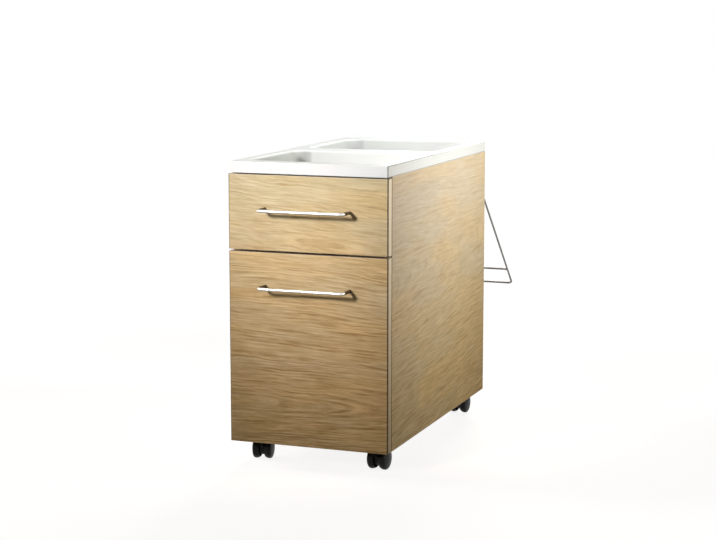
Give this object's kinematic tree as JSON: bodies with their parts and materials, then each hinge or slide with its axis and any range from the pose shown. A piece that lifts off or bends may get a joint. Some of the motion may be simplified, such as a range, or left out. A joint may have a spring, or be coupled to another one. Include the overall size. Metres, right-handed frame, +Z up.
{
  "type": "mobile file pedestal",
  "caption": "Narrow oak veneered cabinet on casters with a low drawer over a deep file drawer, a white top tray with open wells, bow handles and a sloping wire rack behind.",
  "frame": {"origin": "on the floor, in the middle of the whole object's plan", "axes": "+X to the right seen from the front, +Y from the drawer fronts to the back, +Z up"},
  "size_m": [0.3, 0.8544, 0.55],
  "materials": {
    "oak_veneer": "satin lacquered oak",
    "carcass_board": "faced board",
    "birch_ply": "lacquered birch",
    "tray_white": "satin white",
    "handle_steel": "satin",
    "fastener_steel": "zinc plated",
    "slide_steel": "zinc plated",
    "rack_wire": "satin grey",
    "file_rail_paint": "satin grey",
    "caster_plastic": "satin black",
    "wheel_plastic": "satin black",
    "bumper_rubber": "translucent soft"
  },
  "bodies": {
    "cabinet": {"back_panel": "oak_veneer", "bottom_panel": "carcass_board", "caster_inserts": "fastener_steel", "caster_kingpins": "fastener_steel", "front_bumpers": "bumper_rubber", "front_cross_rail": "carcass_board", "lower_slide_outer_left": "slide_steel", "lower_slide_outer_right": "slide_steel", "panel_dowels": "birch_ply", "rack_cross_rail": "rack_wire", "rack_ferrules": "rack_wire", "rack_loop": "rack_wire", "side_panel_left": "oak_veneer", "side_panel_right": "oak_veneer", "top_tray": "tray_white", "tray_screws": "fastener_steel", "tray_support_rail": "carcass_board", "upper_slide_outer_left": "slide_steel", "upper_slide_outer_right": "slide_steel"},
    "upper_drawer": {"upper_box_back": "birch_ply", "upper_box_bottom": "birch_ply", "upper_box_front": "birch_ply", "upper_box_side_left": "birch_ply", "upper_box_side_right": "birch_ply", "upper_front": "oak_veneer", "upper_handle": "handle_steel", "upper_handle_screws": "fastener_steel", "upper_slide_inner_left": "slide_steel", "upper_slide_inner_right": "slide_steel"},
    "lower_drawer": {"file_rails": "file_rail_paint", "lower_box_back": "birch_ply", "lower_box_bottom": "birch_ply", "lower_box_front": "birch_ply", "lower_box_side_left": "birch_ply", "lower_box_side_right": "birch_ply", "lower_front": "oak_veneer", "lower_handle": "handle_steel", "lower_handle_screws": "fastener_steel", "lower_slide_inner_left": "slide_steel", "lower_slide_inner_right": "slide_steel"},
    "caster_front_left": {"caster_front_left_axle": "fastener_steel", "caster_front_left_housing": "caster_plastic"},
    "caster_front_left_wheel_left": {"caster_front_left_wheel_left": "wheel_plastic"},
    "caster_front_left_wheel_right": {"caster_front_left_wheel_right": "wheel_plastic"},
    "caster_front_right": {"caster_front_right_axle": "fastener_steel", "caster_front_right_housing": "caster_plastic"},
    "caster_front_right_wheel_left": {"caster_front_right_wheel_left": "wheel_plastic"},
    "caster_front_right_wheel_right": {"caster_front_right_wheel_right": "wheel_plastic"},
    "caster_rear_left": {"caster_rear_left_axle": "fastener_steel", "caster_rear_left_housing": "caster_plastic"},
    "caster_rear_left_wheel_left": {"caster_rear_left_wheel_left": "wheel_plastic"},
    "caster_rear_left_wheel_right": {"caster_rear_left_wheel_right": "wheel_plastic"},
    "caster_rear_right": {"caster_rear_right_axle": "fastener_steel", "caster_rear_right_housing": "caster_plastic"},
    "caster_rear_right_wheel_left": {"caster_rear_right_wheel_left": "wheel_plastic"},
    "caster_rear_right_wheel_right": {"caster_rear_right_wheel_right": "wheel_plastic"},
    "lower_slide_middle_left": {"lower_slide_middle_left": "slide_steel"},
    "lower_slide_middle_right": {"lower_slide_middle_right": "slide_steel"},
    "upper_slide_middle_left": {"upper_slide_middle_left": "slide_steel"},
    "upper_slide_middle_right": {"upper_slide_middle_right": "slide_steel"}
  },
  "joints": [
    {"name": "upper_drawer_slide", "type": "slide", "parent": "cabinet", "child": "upper_drawer", "axis": [0, -1, 0], "range_m": [0, 0.485]},
    {"name": "upper_slide_middle_left_travel", "type": "slide", "parent": "cabinet", "child": "upper_slide_middle_left", "axis": [0, -1, 0], "range_m": [0, 0.2425]},
    {"name": "upper_slide_middle_right_travel", "type": "slide", "parent": "cabinet", "child": "upper_slide_middle_right", "axis": [0, -1, 0], "range_m": [0, 0.2425]},
    {"name": "lower_drawer_slide", "type": "slide", "parent": "cabinet", "child": "lower_drawer", "axis": [0, -1, 0], "range_m": [0, 0.485]},
    {"name": "lower_slide_middle_left_travel", "type": "slide", "parent": "cabinet", "child": "lower_slide_middle_left", "axis": [0, -1, 0], "range_m": [0, 0.2425]},
    {"name": "lower_slide_middle_right_travel", "type": "slide", "parent": "cabinet", "child": "lower_slide_middle_right", "axis": [0, -1, 0], "range_m": [0, 0.2425]},
    {"name": "caster_front_left_swivel", "type": "hinge", "parent": "cabinet", "child": "caster_front_left", "pos_m": [-0.111, -0.34125, 0.044], "axis": [0, 0, 1], "continuous": true},
    {"name": "caster_front_left_spin_left", "type": "hinge", "parent": "caster_front_left", "child": "caster_front_left_wheel_left", "pos_m": [-0.1136, -0.32648, 0.02], "axis": [0.9848, 0.1736, 0], "continuous": true},
    {"name": "caster_front_left_spin_right", "type": "hinge", "parent": "caster_front_left", "child": "caster_front_left_wheel_right", "pos_m": [-0.1136, -0.32648, 0.02], "axis": [0.9848, 0.1736, 0], "continuous": true},
    {"name": "caster_front_right_swivel", "type": "hinge", "parent": "cabinet", "child": "caster_front_right", "pos_m": [0.111, -0.34125, 0.044], "axis": [0, 0, 1], "continuous": true},
    {"name": "caster_front_right_spin_left", "type": "hinge", "parent": "caster_front_right", "child": "caster_front_right_wheel_left", "pos_m": [0.11205, -0.32629, 0.02], "axis": [0.9976, -0.0698, 0], "continuous": true},
    {"name": "caster_front_right_spin_right", "type": "hinge", "parent": "caster_front_right", "child": "caster_front_right_wheel_right", "pos_m": [0.11205, -0.32629, 0.02], "axis": [0.9976, -0.0698, 0], "continuous": true},
    {"name": "caster_rear_left_swivel", "type": "hinge", "parent": "cabinet", "child": "caster_rear_left", "pos_m": [-0.111, 0.14025, 0.044], "axis": [0, 0, 1], "continuous": true},
    {"name": "caster_rear_left_spin_left", "type": "hinge", "parent": "caster_rear_left", "child": "caster_rear_left_wheel_left", "pos_m": [-0.11257, 0.15517, 0.02], "axis": [0.9945, 0.1045, 0], "continuous": true},
    {"name": "caster_rear_left_spin_right", "type": "hinge", "parent": "caster_rear_left", "child": "caster_rear_left_wheel_right", "pos_m": [-0.11257, 0.15517, 0.02], "axis": [0.9945, 0.1045, 0], "continuous": true},
    {"name": "caster_rear_right_swivel", "type": "hinge", "parent": "cabinet", "child": "caster_rear_right", "pos_m": [0.111, 0.14025, 0.044], "axis": [0, 0, 1], "continuous": true},
    {"name": "caster_rear_right_spin_left", "type": "hinge", "parent": "caster_rear_right", "child": "caster_rear_right_wheel_left", "pos_m": [0.11152, 0.15524, 0.02], "axis": [0.9994, -0.0349, 0], "continuous": true},
    {"name": "caster_rear_right_spin_right", "type": "hinge", "parent": "caster_rear_right", "child": "caster_rear_right_wheel_right", "pos_m": [0.11152, 0.15524, 0.02], "axis": [0.9994, -0.0349, 0], "continuous": true}
  ],
  "couplings": [
    {"joint": "upper_slide_middle_left_travel", "follows": "upper_drawer_slide", "ratio": 0.5},
    {"joint": "upper_slide_middle_right_travel", "follows": "upper_drawer_slide", "ratio": 0.5},
    {"joint": "lower_slide_middle_left_travel", "follows": "lower_drawer_slide", "ratio": 0.5},
    {"joint": "lower_slide_middle_right_travel", "follows": "lower_drawer_slide", "ratio": 0.5}
  ]
}
